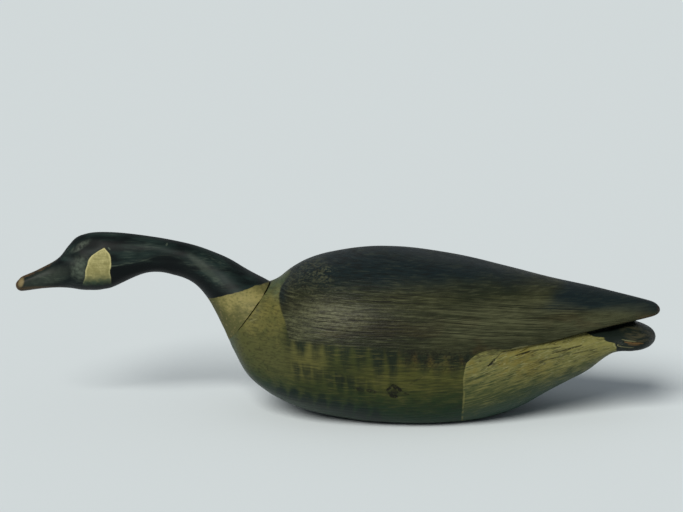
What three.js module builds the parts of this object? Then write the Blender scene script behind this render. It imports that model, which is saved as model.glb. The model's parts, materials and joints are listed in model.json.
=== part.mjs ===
// A carved wooden goose decoy that swims with its neck stretched out low.
// Millimetres. +X runs from the bill towards the tail, +Y across the bird, +Z up.
// The origin lies under the middle of the length, on the surface that the flat underside rests on.
import * as THREE from "three";
import { mergeVertices } from "three/addons/utils/BufferGeometryUtils.js";

// Driving sizes
const totalLength = 760; // bill tip to wing tips
const backHeight = 196; // crown of the back above the underside
const bodyWidth = 225; // widest place of the body
const tailWidth = 100; // across the tail paddle
const tailThickness = 21; // tail paddle along the middle
const headWidth = 50; // across the cheeks
const billWidth = 27; // across the root of the bill
const neckWidth = 38; // thinnest place of the neck
const neckFootWidth = 94; // neck where it is glued to the body
const glueGap = 0.3; // open joint between neck and body
const wingLip = 2.4; // thickness of the carved lower edge of the wings
const wingOverhang = 0.5; // share of the wings' half width that stands out over the tail
const billTipRadius = 8;
const wingTipRadius = 9;
const tailEndRadius = 40; // length over which the tail paddle rounds in
const tailEdgeRadius = 16;
const webEndRadius = 22; // the same for the wood between wings and tail
const eyeHollowDepth = 1.8;
const browSwell = 0.7;
const cheekSwell = 1.3;

// Places along the length, as shares of it from the bill tip
const neckFootAt = 0.3933; // top end of the glue joint
const shouldersAt = 0.56; // sections lean forward up to here
const partingAt = 0.9074; // wings and tail begin to part
const webEndAt = 0.9577; // end of the solid wood between wings and tail
const tailEndAt = 0.993;

const wingEdgeFrom = 0.71; // the carved wing edge starts to show
const wingEdgeFullAt = 0.79;
const paddleFrom = 0.88; // the rump starts to flatten into the tail paddle
const paddleFullAt = 0.95;

// Height of the wing tips, as a share of the back's height
const wingTipRise = 0.622;

// Fullness of the sections: 2 is an ellipse, more is squarer
const neckFullness = 2.15;
const backFullness = 2.2;
const bellyFullness = 2.3;
const shelfFullness = 2.4;
const tailFullness = 3.6;

// How finely the form is cut into faces
const plainLip = 5; // height of the rows of faces where no wing edge shows yet
const crownSteps = 10;
const shelfSteps = 4;
const bilgeSteps = 10;
const billTipSteps = 4;
const neckSteps = 27;
const shoulderSteps = 12;
const backSteps = 15;
const rearSteps = 12;

// A fair curve that passes smoothly through a few [place, value] points.
function fair(points) {
  const last = points.length - 1;
  const slopes = points.map(([place, value], i) => {
    const [placeBefore, valueBefore] = points[Math.max(i - 1, 0)];
    const [placeAfter, valueAfter] = points[Math.min(i + 1, last)];
    if (i === 0 || i === last) {
      return (valueAfter - valueBefore) / (placeAfter - placeBefore);
    }
    const before = (value - valueBefore) / (place - placeBefore);
    const after = (valueAfter - value) / (placeAfter - place);
    const share = (place - placeBefore) / (placeAfter - placeBefore);
    return before + (after - before) * share;
  });
  return (place) => {
    const next = points.findIndex(([at]) => at > place);
    const i = next < 0 ? last - 1 : Math.max(next - 1, 0);
    const [start, from] = points[i];
    const [end, to] = points[i + 1];
    const t = THREE.MathUtils.clamp((place - start) / (end - start), 0, 1);
    const eased = t * t * (3 - 2 * t);
    const leaving = t * (1 - t) * (1 - t) * (end - start) * slopes[i];
    const arriving = t * t * (1 - t) * (end - start) * slopes[i + 1];
    return from + (to - from) * eased + leaving - arriving;
  };
}

// Lines of the head and neck. Heights are shares of the back's height, widths are full widths.
const neckLines = {
  crest: fair([
    [0, 0.816],
    [0.02, 0.845],
    [0.039, 0.882],
    [0.058, 0.918],
    [0.0691, 0.945],
    [0.0804, 1.006],
    [0.0916, 1.051],
    [0.1042, 1.08],
    [0.1214, 1.094],
    [0.1415, 1.096],
    [0.1848, 1.08],
    [0.2342, 1.051],
    [0.2882, 1.001],
    [0.3422, 0.904],
    [0.3718, 0.832],
    [neckFootAt, 0.788],
  ]),
  keel: fair([
    [0, 0.737],
    [0.0378, 0.75],
    [0.0675, 0.76],
    [0.0862, 0.758],
    [0.1157, 0.744],
    [0.1329, 0.747],
    [0.1517, 0.772],
    [0.1722, 0.81],
    [0.2005, 0.855],
    [0.2239, 0.861],
    [0.2456, 0.844],
    [0.2641, 0.816],
    [0.281, 0.772],
    [0.3039, 0.653],
    [0.3282, 0.449],
  ]),
  // how far the foot of a section lies ahead of its top
  lean: fair([
    [0, 0],
    [0.0691, 0.0016],
    [0.1214, 0.0057],
    [0.1632, 0.0115],
    [0.2079, 0.0085],
    [0.2605, 0.0149],
    [0.316, 0.035],
    [0.3639, 0.06],
    [neckFootAt, 0.0651],
  ]),
  width: fair([
    [0, 0.74 * billWidth],
    [0.03, 0.9 * billWidth],
    [0.058, 1.06 * billWidth],
    [0.0804, 0.77 * headWidth],
    [0.1042, 0.95 * headWidth],
    [0.125, headWidth],
    [0.1632, 0.9 * headWidth],
    [0.2079, 1.01 * neckWidth],
    [0.2342, neckWidth],
    [0.2882, 1.15 * neckWidth],
    [0.3422, 1.55 * neckWidth],
    [0.3793, 0.865 * neckFootWidth],
    [neckFootAt, neckFootWidth],
  ]),
  widest: fair([
    [0, 0.45],
    [0.058, 0.4],
    [0.1042, 0.44],
    [0.16, 0.5],
    [neckFootAt, 0.5],
  ]),
};

// Lines of the body, in the same shares. Widths and steps outward are shares of the body's width.
const bodyLines = {
  crest: fair([
    [neckFootAt, 0.788],
    [0.4058, 0.806],
    [0.4214, 0.857],
    [0.4401, 0.902],
    [0.465, 0.941],
    [0.4945, 0.97],
    [0.5255, 0.99],
    [0.5643, 1],
    [0.6031, 0.994],
    [0.6575, 0.966],
    [0.7197, 0.92],
    [0.7822, 0.859],
    [0.8448, 0.8],
    [0.9074, 0.748],
    [0.9703, 0.689],
    [1, 0.658],
  ]),
  keel: fair([
    [0.3282, 0.449],
    [0.3482, 0.301],
    [0.3706, 0.191],
    [0.3992, 0.105],
    [0.4276, 0.053],
    [0.4652, 0.014],
    [0.5, -0.012],
    [0.54, -0.046],
    [0.6, -0.071],
    [0.68, -0.063],
    [0.74, -0.018],
    [0.7801, 0.039],
    [0.8175, 0.124],
    [0.855, 0.199],
    [0.8925, 0.278],
    [0.9107, 0.324],
    [0.93, 0.378],
    [0.9624, 0.413],
    [1, 0.423],
  ]),
  lean: fair([
    [neckFootAt, 0.0651],
    [0.4058, 0.0576],
    [0.4214, 0.0508],
    [0.4401, 0.0409],
    [0.465, 0.028],
    [0.4945, 0.017],
    [0.5255, 0.008],
    [shouldersAt, 0],
  ]),
  width: fair([
    [neckFootAt, neckFootWidth / bodyWidth],
    [0.4058, 0.515],
    [0.4214, 0.645],
    [0.4401, 0.77],
    [0.465, 0.88],
    [0.4945, 0.95],
    [0.5255, 0.985],
    [0.57, 1],
    [0.61, 0.995],
    [0.6575, 0.955],
    [0.7197, 0.86],
    [0.7822, 0.715],
    [0.8448, 0.525],
    [0.9074, 0.338],
    [0.97, 0.165],
    [1, 0.1],
  ]),
  wingEdge: fair([
    [neckFootAt, 0.612],
    [0.4058, 0.566],
    [0.4214, 0.541],
    [0.4401, 0.526],
    [0.4875, 0.515],
    [0.5912, 0.499],
    [0.6884, 0.469],
    [0.7419, 0.482],
    [0.7889, 0.502],
    [0.8366, 0.522],
    [0.9017, 0.555],
    [0.9679, 0.587],
    [1, 0.609],
  ]),
  // from the wing edge down to the foot of the step under it
  stepHeight: fair([
    [0.715, 0.041],
    [0.78, 0.024],
    [0.86, 0.029],
    [0.9074, 0.036],
    [0.9344, 0.048],
    [0.9679, 0.061],
    [1, 0.082],
  ]),
  // how deep the step runs in under the wing edge, 1 being the full overhang
  stepDepth: fair([
    [0.71, 0],
    [0.77, 0.05],
    [0.8428, 0.14],
    [0.88, 0.4],
    [0.9074, 0.75],
    [0.94, 1],
  ]),
  // how far the rump stands out beyond the wing edge
  rumpSpread: fair([
    [0.74, 0],
    [0.7818, 0.013],
    [0.828, 0.031],
    [0.867, 0.049],
    [0.906, 0.071],
    [0.937, 0.102],
  ]),
  rumpDrop: fair([
    [0.7, 0.041],
    [0.7889, 0.043],
    [0.8366, 0.056],
    [0.88, 0.061],
    [0.9074, 0.056],
  ]),
};

// Shallow carving on the sides of the head. slope is the rise of its line along the bird.
const headCarving = [
  { at: 0.101, rise: 0.975, long: 19, broad: 5.5, slope: 0.56, out: -eyeHollowDepth },
  { at: 0.094, rise: 1.02, long: 12, broad: 4, slope: 0.74, out: browSwell },
  { at: 0.1, rise: 0.867, long: 11, broad: 10, slope: 0, out: cheekSwell },
];

const { clamp, lerp, smoothstep } = THREE.MathUtils;
const lengthAt = (share) => (share - 0.5) * totalLength;
const heightAt = (share) => share * backHeight;

// 1 a radius or more before an end, and down to 0 at the end like a quarter of a circle.
function roundedEnd(distance, radius) {
  const inside = clamp(1 - distance / radius, 0, 1);
  return Math.sqrt(1 - inside * inside);
}

// One point of a quarter of a superellipse, as [growing, shrinking] shares.
function quarter(step, steps, exponent) {
  const angle = (step / steps) * (Math.PI / 2);
  const power = 2 / exponent;
  return [Math.sin(angle) ** power, Math.max(Math.cos(angle), 0) ** power];
}

// Half a section as [x, y, z] points, from the crest down over the side to the keel.
// Each named point of the section has x, half (its distance from the middle) and z.
function halfSection({ crest, edge, lip, root, foot, side, keel, crown, shelf, bilge }) {
  const points = [];
  for (let i = 0; i <= crownSteps; i++) {
    const [out, up] = quarter(i, crownSteps, crown);
    points.push([lerp(edge.x, crest.x, up), edge.half * out, lerp(edge.z, crest.z, up)]);
  }
  points.push([lip.x, lip.half, lip.z], [root.x, root.half, root.z]);
  for (let i = 0; i <= shelfSteps; i++) {
    const [out, up] = quarter(i, shelfSteps, shelf);
    const down = lerp(i / shelfSteps, 1 - up, foot.carved);
    points.push([
      lerp(foot.x, side.x, lerp(down, out, foot.carved)),
      lerp(root.half, side.half, out),
      lerp(foot.z, side.z, down),
    ]);
  }
  for (let i = 1; i <= bilgeSteps; i++) {
    const [down, out] = quarter(i, bilgeSteps, bilge);
    points.push([lerp(side.x, keel.x, down), side.half * out, lerp(side.z, keel.z, down)]);
  }
  return points;
}

// A section of the head or neck whose crest lies at that share of the length.
function neckSection(at) {
  const keelAt = at - neckLines.lean(at);
  const round = roundedEnd(at * totalLength, billTipRadius);
  const crestZ = heightAt(neckLines.crest(at));
  const keelZ = heightAt(neckLines.keel(keelAt));
  const half = (neckLines.width(at) / 2) * round;
  const widest = neckLines.widest(at);
  const on = (share) => ({
    x: lengthAt(lerp(keelAt, at, share)),
    half,
    z: lerp(keelZ, crestZ, lerp(0.5, share, round)),
    carved: 0,
  });
  const section = halfSection({
    crest: on(1),
    edge: on(widest + 0.04),
    lip: on(widest + 0.03),
    root: on(widest + 0.02),
    foot: on(widest + 0.01),
    side: on(widest - 0.03),
    keel: on(0),
    crown: neckFullness,
    shelf: shelfFullness,
    bilge: neckFullness,
  });
  return section.map(([x, y, z]) => [x, y * (1 + carvedOut(x, z) / Math.max(half, 1)), z]);
}

// How far the carving stands out of the side of the head at a place.
function carvedOut(x, z) {
  return headCarving.reduce((sum, { at, rise, long, broad, slope, out }) => {
    const run = Math.hypot(1, slope);
    const ahead = x - lengthAt(at);
    const above = z - heightAt(rise);
    const along = (ahead + slope * above) / run / long;
    const across = (above - slope * ahead) / run / broad;
    return sum + out * Math.exp(-along * along - across * across);
  }, 0);
}

// A section of the body. parting grows from 0 to 1 where wings and tail part.
function bodySection(at, parting) {
  const tailAt = at - parting * (1 - tailEndAt);
  const webAt = at - parting * (1 - webEndAt);
  const keelAt = tailAt - bodyLines.lean(at);
  const crestZ = heightAt(bodyLines.crest(at));
  const keelZ = heightAt(bodyLines.keel(keelAt));
  const edgeZ = heightAt(bodyLines.wingEdge(at));
  const leaning = (z) => lengthAt(lerp(keelAt, at, (z - keelZ) / (crestZ - keelZ)));
  const carved = smoothstep(at, wingEdgeFrom, wingEdgeFullAt);
  const overhang = bodyLines.stepDepth(at) * wingOverhang;

  const fullHalf = (bodyLines.width(at) / 2) * bodyWidth;
  const tipRound = roundedEnd((1 - at) * totalLength, wingTipRadius);
  const wingHalf = fullHalf * tipRound;
  const wingZ = (z) => lerp(heightAt(wingTipRise), z, tipRound);
  const lipZ = edgeZ - 0.7 * lerp(plainLip, wingLip, carved);
  const rootZ = edgeZ - lerp(plainLip, wingLip, carved);

  const webRound = roundedEnd((webEndAt - webAt) * totalLength, webEndRadius);
  const rootHalf = fullHalf * (1 - overhang) * webRound;
  const footZ = edgeZ - heightAt(bodyLines.stepHeight(at));

  const paddle = smoothstep(at, paddleFrom, paddleFullAt);
  const toTailEnd = (tailEndAt - tailAt) * totalLength;
  const rumpHalf = fullHalf + bodyLines.rumpSpread(at) * bodyWidth;
  const tailRound = roundedEnd(toTailEnd, tailEndRadius);
  const drop = lerp(heightAt(bodyLines.rumpDrop(at)), tailThickness / 2, paddle);
  const sideZ = footZ - drop;
  const undersideZ = lerp(keelZ, sideZ - tailThickness / 2, paddle);
  const edgeRound = roundedEnd(toTailEnd, tailEdgeRadius);

  const placed = (z, share) => (parting > 0 ? lengthAt(share) : leaning(z));
  const section = halfSection({
    crest: { x: placed(crestZ, at), half: 0, z: wingZ(crestZ) },
    edge: { x: placed(edgeZ, at), half: wingHalf, z: wingZ(edgeZ) },
    lip: { x: placed(lipZ, at), half: wingHalf * (1 - 0.1 * overhang), z: wingZ(lipZ) },
    root: { x: placed(rootZ, webAt), half: rootHalf, z: rootZ },
    foot: { x: placed(footZ, webAt), z: footZ, carved },
    side: {
      x: placed(sideZ, tailAt),
      half: lerp(rumpHalf, tailWidth / 2, paddle) * tailRound,
      z: sideZ,
    },
    keel: { x: placed(keelZ, tailAt), z: lerp(sideZ, undersideZ, edgeRound) },
    crown: backFullness,
    shelf: shelfFullness,
    bilge: lerp(bellyFullness, tailFullness, paddle),
  });
  return section.map(([x, y, z]) => [x, y, Math.max(z, 0)]);
}

// The half section, then its mirror image back up to the crest.
function ringOf(half) {
  const mirrored = half.slice(1, -1).map(([x, y, z]) => [x, -y, z]);
  return [...half, ...mirrored.reverse()];
}

// Joins rings into one closed surface. flatEnd says which end, if any, gets a flat cap.
function loft(rings, flatEnd) {
  const around = rings[0].length;
  const positions = rings.flat(2);
  const faces = [];
  for (let ring = 1; ring < rings.length; ring++) {
    for (let i = 0; i < around; i++) {
      const here = ring * around + i;
      const beside = ring * around + ((i + 1) % around);
      faces.push([here - around, beside, beside - around], [here - around, here, beside]);
    }
  }
  const endRing = flatEnd === "first" ? 0 : rings.length - 1;
  const centre = [0, 1, 2].map(
    (axis) => rings[endRing].reduce((sum, point) => sum + point[axis], 0) / around,
  );
  const middle = positions.length / 3;
  positions.push(...centre);
  for (let i = 0; i < around; i++) {
    const here = endRing * around + i;
    const beside = endRing * around + ((i + 1) % around);
    faces.push(flatEnd === "first" ? [middle, here, beside] : [middle, beside, here]);
  }
  const geometry = new THREE.BufferGeometry();
  geometry.setAttribute("position", new THREE.Float32BufferAttribute(positions, 3));
  geometry.setIndex(faces.flat());
  return withoutSlivers(mergeVertices(geometry, 1e-3));
}

// Leaves out the faces that have shrunk to a line where a ring closes.
function withoutSlivers(geometry) {
  const corners = Array.from(geometry.index.array);
  const kept = [];
  for (let i = 0; i < corners.length; i += 3) {
    const [a, b, c] = corners.slice(i, i + 3);
    if (a !== b && b !== c && c !== a) {
      kept.push(a, b, c);
    }
  }
  geometry.setIndex(kept);
  geometry.computeVertexNormals();
  return geometry;
}

// Shares from one place towards another, leaving the last one out. ease above 1 crowds the start.
function spaced(from, to, steps, ease) {
  return Array.from({ length: steps }, (_, i) => lerp(from, to, (i / steps) ** ease));
}

function headAndNeck() {
  const tipEnd = billTipRadius / totalLength;
  const places = [
    ...spaced(0, 1, billTipSteps, 1).map((t) => tipEnd * (1 - Math.cos((t * Math.PI) / 2))),
    ...spaced(tipEnd, neckFootAt, neckSteps, 1),
    neckFootAt,
  ];
  return loft(
    places.map((at) => ringOf(neckSection(at))),
    "last",
  );
}

function body() {
  const neckFoot = neckSection(neckFootAt);
  const [crestX, , crestZ] = neckFoot[0];
  const [keelX, , keelZ] = neckFoot[neckFoot.length - 1];
  const jointHeight = Math.hypot(crestX - keelX, crestZ - keelZ);
  const gapX = (glueGap * (crestZ - keelZ)) / jointHeight;
  const gapZ = (-glueGap * (crestX - keelX)) / jointHeight;
  const front = neckFoot.map(([x, y, z]) => [x + gapX, y, z + gapZ]);
  const sections = [
    ...spaced(neckFootAt, shouldersAt, shoulderSteps, 1.3).slice(1),
    ...spaced(shouldersAt, partingAt, backSteps, 1),
  ].map((at) => bodySection(at, 0));
  for (let i = 0; i <= rearSteps; i++) {
    const parting = Math.sin(((i / rearSteps) * Math.PI) / 2);
    sections.push(bodySection(lerp(partingAt, 1, parting), parting));
  }
  return loft(
    [front, ...sections].map(ringOf),
    "first",
  );
}

function piece(name, geometry, color, roughness) {
  const material = new THREE.MeshStandardMaterial({ color, roughness, metalness: 0 });
  const mesh = new THREE.Mesh(geometry, material);
  mesh.name = name;
  return mesh;
}

const decoy = new THREE.Group();
decoy.name = "goose_decoy";
decoy.add(piece("head_and_neck", headAndNeck(), 0x22282a, 0.55));
decoy.add(piece("body", body(), 0x4d4936, 0.6));

export default decoy;
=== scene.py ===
# A carved and painted wooden goose decoy. The two CAD pieces become smooth carved wood
# with its knife marks, cracks and chips, under worn hand-brushed paint.
import json
import math
import bpy
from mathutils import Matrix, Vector
from mathutils.geometry import intersect_point_line

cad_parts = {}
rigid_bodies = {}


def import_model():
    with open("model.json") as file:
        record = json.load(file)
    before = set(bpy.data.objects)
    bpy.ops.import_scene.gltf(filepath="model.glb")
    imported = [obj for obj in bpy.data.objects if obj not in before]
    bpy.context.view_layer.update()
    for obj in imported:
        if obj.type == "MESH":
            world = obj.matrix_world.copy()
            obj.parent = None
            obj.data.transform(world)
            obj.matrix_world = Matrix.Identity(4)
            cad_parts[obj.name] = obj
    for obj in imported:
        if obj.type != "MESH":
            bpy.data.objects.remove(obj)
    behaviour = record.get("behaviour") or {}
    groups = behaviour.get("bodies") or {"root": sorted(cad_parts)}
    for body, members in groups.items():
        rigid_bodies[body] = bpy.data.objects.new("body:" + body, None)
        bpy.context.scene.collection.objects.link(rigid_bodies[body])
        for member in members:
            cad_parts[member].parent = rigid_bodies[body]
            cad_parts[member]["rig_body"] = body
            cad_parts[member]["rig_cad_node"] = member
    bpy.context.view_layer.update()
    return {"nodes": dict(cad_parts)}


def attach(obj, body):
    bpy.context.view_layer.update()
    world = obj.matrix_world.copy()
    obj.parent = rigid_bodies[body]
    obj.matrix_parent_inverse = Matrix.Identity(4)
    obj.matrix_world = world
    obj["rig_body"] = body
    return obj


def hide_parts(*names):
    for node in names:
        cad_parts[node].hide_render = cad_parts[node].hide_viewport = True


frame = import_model()
mm = 0.001
print("frame loaded")


class Flow:  # one socket of a material's nodes, so that shader maths reads as plain Python
    def __init__(self, tree, socket):
        self.tree = tree
        self.socket = socket

    def node(self, kind, settings=(), inputs=(), output=0):
        made = self.tree.nodes.new("ShaderNode" + kind)
        for name, setting in dict(settings).items():
            if name == "points":
                line = made.mapping.curves[0].points
                for at in setting[1:-1]:
                    line.new(*at)
                line[0].location, line[-1].location = setting[0], setting[-1]
                made.mapping.update()
            else:
                setattr(made, name, setting)
        for name, given in dict(inputs).items():
            if isinstance(given, Flow):
                self.tree.links.new(given.socket, made.inputs[name])
            else:
                made.inputs[name].default_value = given
        return Flow(self.tree, made.outputs[output])

    def math(self, operation, *others):
        return self.node("Math", {"operation": operation}, enumerate((self, *others)))

    def __add__(self, other):
        return self.math("ADD", other)

    def __sub__(self, other):
        return self.math("SUBTRACT", other)

    def __rsub__(self, other):
        return self * -1 + other

    def __mul__(self, other):
        return self.math("MULTIPLY", other)

    def __truediv__(self, other):
        return self.math("DIVIDE", other)

    def __abs__(self):
        return self.math("ABSOLUTE")

    __radd__ = __add__
    __rmul__ = __mul__

    def top(self, other):  # the greater of two
        return self.math("MAXIMUM", other)

    def low(self, other):  # the smaller of two
        return self.math("MINIMUM", other)

    def vector(self, operation, other):
        return self.node("VectorMath", {"operation": operation}, {0: self, 1: other})

    def parts(self):
        split = self.node("SeparateXYZ", inputs={0: self})
        return [Flow(self.tree, socket) for socket in split.socket.node.outputs]

    def leaned(self, angle):  # a place turned so that level streaks rise towards the tail by that angle
        turn = {"Vector": self, "Angle": math.radians(angle)}
        return self.node("VectorRotate", {"rotation_type": "Y_AXIS"}, turn)

    def rise(self, start, end):  # 0 before start and 1 past end, softly
        smooth = {"interpolation_type": "SMOOTHSTEP"}
        return self.node("MapRange", smooth, {0: self, 1: start, 2: end})

    def curve(self, points):  # a smooth line through (place, value) points, level past its ends
        places, values = zip(*points)
        first, last = places[0], places[-1]
        least, most = min(values), max(values)
        drawn = [((p - first) / (last - first), (v - least) / (most - least)) for p, v in points]
        share = self.node("MapRange", inputs={0: self, 1: first, 2: last})
        return self.node("FloatCurve", {"points": drawn}, {1: share}) * (most - least) + least

    def mix(self, under, over):  # the colour under where this is 0, over where it is 1
        under, over = [paint(*c) if isinstance(c, tuple) else c for c in (under, over)]
        return self.node("Mix", {"data_type": "RGBA"}, {0: self, 6: under, 7: over}, 2)

    def noise(self, size, detail=2, seed=0):  # 0 to 1, with spots of that size in mm
        spread = self.vector("DIVIDE", size).vector("ADD", (seed, seed * 1.7, seed * 2.3))
        return self.node("TexNoise", (), {"Vector": spread, "Scale": 1, "Detail": detail})

    def wobble(self, size, reach, detail=2, seed=0):  # the same, from about -reach to reach
        return (self.noise(size, detail, seed) - 0.5) * (3 * reach)

    def crackle(self, size, seed=0):  # 0 on the lines of a crackled skin, rising between them
        spread = self.vector("DIVIDE", size).vector("ADD", (seed, seed * 1.7, seed * 2.3))
        return self.node("TexVoronoi", {"feature": "DISTANCE_TO_EDGE"}, {"Vector": spread, "Scale": 1})


def paint(red, green, blue):  # a colour as the eye sees it, 0 to 255, in the shader's own scale
    shares = [c / 255 for c in (red, green, blue)]
    return (*(((c + 0.055) / 1.055) ** 2.4 if c > 0.04 else c / 12.92 for c in shares), 1)


def newFinish(name, gloss):  # a material, its shader, and the place on the piece in mm
    material = bpy.data.materials.new(name)
    material.use_nodes = True
    tree = material.node_tree
    shader = tree.nodes["Principled BSDF"]
    shader.inputs["Specular IOR Level"].default_value = gloss
    place = Flow(tree, None).node("TexCoord", output="Object").vector("MULTIPLY", (1000, 1000, 1000))
    return material, shader, place


def wire(shader, colour, roughness, height):  # height is in mm
    bump = height.node("Bump", (), {"Height": height, "Distance": mm, "Strength": 1})
    for name, flow in {"Base Color": colour, "Roughness": roughness, "Normal": bump}.items():
        flow.tree.links.new(flow.socket, shader.inputs[name])


def ringLine(field, spacing):  # 0 in the pale wood of each growth ring, 1 on its dark line
    turn = (field / spacing).math("FRACT")
    return turn.rise(0.4, 0.86) * turn.rise(1.0, 0.93)


def slash(x, z, start, end, width):  # a thin mark from start to end on the side, pointed at both ends
    run, climb = end[0] - start[0], end[1] - start[1]
    ahead, above = x - start[0], z - start[1]
    along = ((ahead * run + above * climb) / (run * run + climb * climb)).top(0).low(1)
    ahead, above = ahead - along * run, above - along * climb
    away = (ahead * ahead + above * above).math("SQRT")
    half = (along * (1 - along)).math("SQRT") * width
    return (away - half).rise(0.2 + width * 0.12, -0.2 - width * 0.12) * half.rise(0.05, 0.3)


def smudge(x, z, middle, reach, climb=0):  # a soft round mark that climbs towards the tail
    ahead = (x - middle[0]) / reach[0]
    above = (z - middle[1] - (x - middle[0]) * climb) / reach[1]
    return (ahead * ahead + above * above).rise(1.3, 0)


def slashes(x, z, marks):  # a whole set of them, the deeper the darker
    most = None
    for start, end, width, depth in marks:
        made = slash(x, z, start, end, width) * min(1, 0.5 + depth / 2)
        most = made if most is None else most.top(made)
    return most


joint = {  # where the neck is glued to the body, as (x, z) in mm
    "top": (-81.1, 154.4),
    "foot": (-130.6, 88.0),
    "gap": 0.3,
    # how far the glue has opened, by height: most at the top, with a bridge of paint at 143
    "opening": [(106, 0), (111, 0.4), (128, 0.65), (138.5, 0.8), (140.5, 0.12), (146, 0.08),
                (148, 0.8), (156, 0.95)],
    "crumbled": 0.42,  # how much of each rim is gone where that is 1
    "closed": 0.42,  # the share of the gap that each rim closes where the glue still holds
    "rows": (0.5, 1.4),  # two fine rows of faces beside the rim keep the rest of the wood still
    "dirtAndShadow": (12, 10, 7),
}
jointTop, jointFoot = (Vector((x, 0, z)) * mm for x, z in (joint["top"], joint["foot"]))
jointWay = Vector((0, 1, 0)).cross(jointTop - jointFoot).normalized()  # from the neck into the body


def jointDirt(place, x, z):  # the open glue line, dark with dirt
    away = (x - joint["top"][0]) * jointWay.x + (z - joint["top"][1]) * jointWay.z - joint["gap"] / 2
    away = away + place.wobble((5, 5, 5), 0.25, 2, 71)
    opening = z.curve(joint["opening"]) * (0.7 + place.noise((4, 4, 4), 3, 70) * 0.6)
    return (abs(away) - opening * 0.6).rise(0.3, 0.0) * opening.rise(0.05, 0.2)


neck = {
    "gloss": 0.11,
    "roughness": 0.44,
    "black": (22, 35, 33),
    "deepBlack": (5, 10, 11),
    "rubbedAndHighlit": (68, 77, 67),  # where the black has worn thin; also the colour of the painted highlights on the brow and jaw
    "cheek": (166, 160, 112),
    "cheekShade": (118, 114, 72),
    "cheekLow": (52, 72, 56),
    "tan": (116, 110, 66),
    "tanShade": (68, 69, 39),
    "bareWood": (92, 70, 44),
    "paleWood": (134, 120, 84),
    # places in mm
    "cheekFront": [(152, -300), (158, -298), (165.8, -295), (172.8, -294.4), (180.2, -292.1),
                   (186.9, -289.9), (194.1, -282.1), (198, -275.5), (200.5, -271)],
    "cheekBack": [(152, -266), (165, -265.6), (172.2, -266.2), (177.6, -264.7), (186.7, -264.7),
                  (190.9, -265.7), (195.9, -268.8), (198.5, -271), (200.5, -273)],
    "cheekTop": 200,
    "cheekFoot": 156,
    "blackFoot": [(-170, 134), (-149, 139.6), (-138.5, 143.4), (-121.9, 148.7), (-113.8, 151),
                  (-104.6, 153.3), (-95.7, 155.4), (-80, 154.6)],
    "billTip": (-378, 151),
    "culmen": [(-377, 158.3), (-369, 163), (-362, 166.3), (-355, 169.5), (-340.5, 177.3), (-326, 186.5),
               (-319, 195)],  # the ridge of the bill
    "culmenTrim": 1.0,  # how much lower the knife left it
    "culmenShow": [(-330, 1), (-318, 0)],
    "throatTop": [(-340, 158), (-300, 172)],  # where the underside of bill and head begins
    "throatFill": 1.5,  # how much fuller the underside of the bill, head and neck is
    "throatShow": [(-380, 0.5), (-366, 0.3), (-350, 0), (-315, 0.1), (-304, 0.2), (-292, 0.05),
                   (-276, 0.1), (-264, 0.5), (-250, 0.95), (-240, 1), (-215, 1), (-203, 0.8),
                   (-190, 0.3), (-176, 0)],
    # the carved edge between the side of the neck and its underside, and how far it stands out
    "chine": [(-268, 177), (-244, 180.5), (-225, 184), (-217, 187), (-204, 189.8), (-189, 188),
              (-175, 177.5), (-160, 166), (-146, 154), (-136, 145)],
    "chineShow": [(-272, 0), (-262, 1), (-230, 1), (-212, 0.3), (-160, 0.1), (-140, 0)],
    "chineReach": 0.9,
    "chineSpread": 5.5,
    "facets": (17, 0.9, 0.31),  # knife marks: their width and depth, and a shift of the pattern
    "socket": ((-309, 187), (13, 8)),  # the hollow of the eye: its middle and how far it reaches
    "socketDepth": 0.8,
    "forehead": ((-308, 208), (12, 12)),
    "foreheadFill": 0.8,
    # soft patches of colour: the middle, how far they reach and how steeply they climb
    "crest": ((-290, 203), (15, 7), 0.1),  # painted shade on the side of the crown, to dull a highlight there
    # the brow and jaw patches are painted highlights
    "browHighlight": ((-301, 200.6), (13, 4.5), 0.55),
    "jawHighlight": ((-300, 176), (14, 16), 0.2),
    "bill": ((-343, 161), (34, 12), 0.35),
    "side": ((-156, 176), (22, 7), -0.8),
    "tip": ((-372.6, 156), (4.2, 5.5), 0.4),
    # scratches and chips on its left side: start and end as (x, z), width and depth
    "marks": [((-201.6, 202.6), (-199.4, 201.8), 3.0, 0.1), ((-152, 194), (-149.5, 193), 2.4, 0.1),
              ((-268.4, 200.4), (-265.2, 197.4), 1.8, 0.5)],
}


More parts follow.
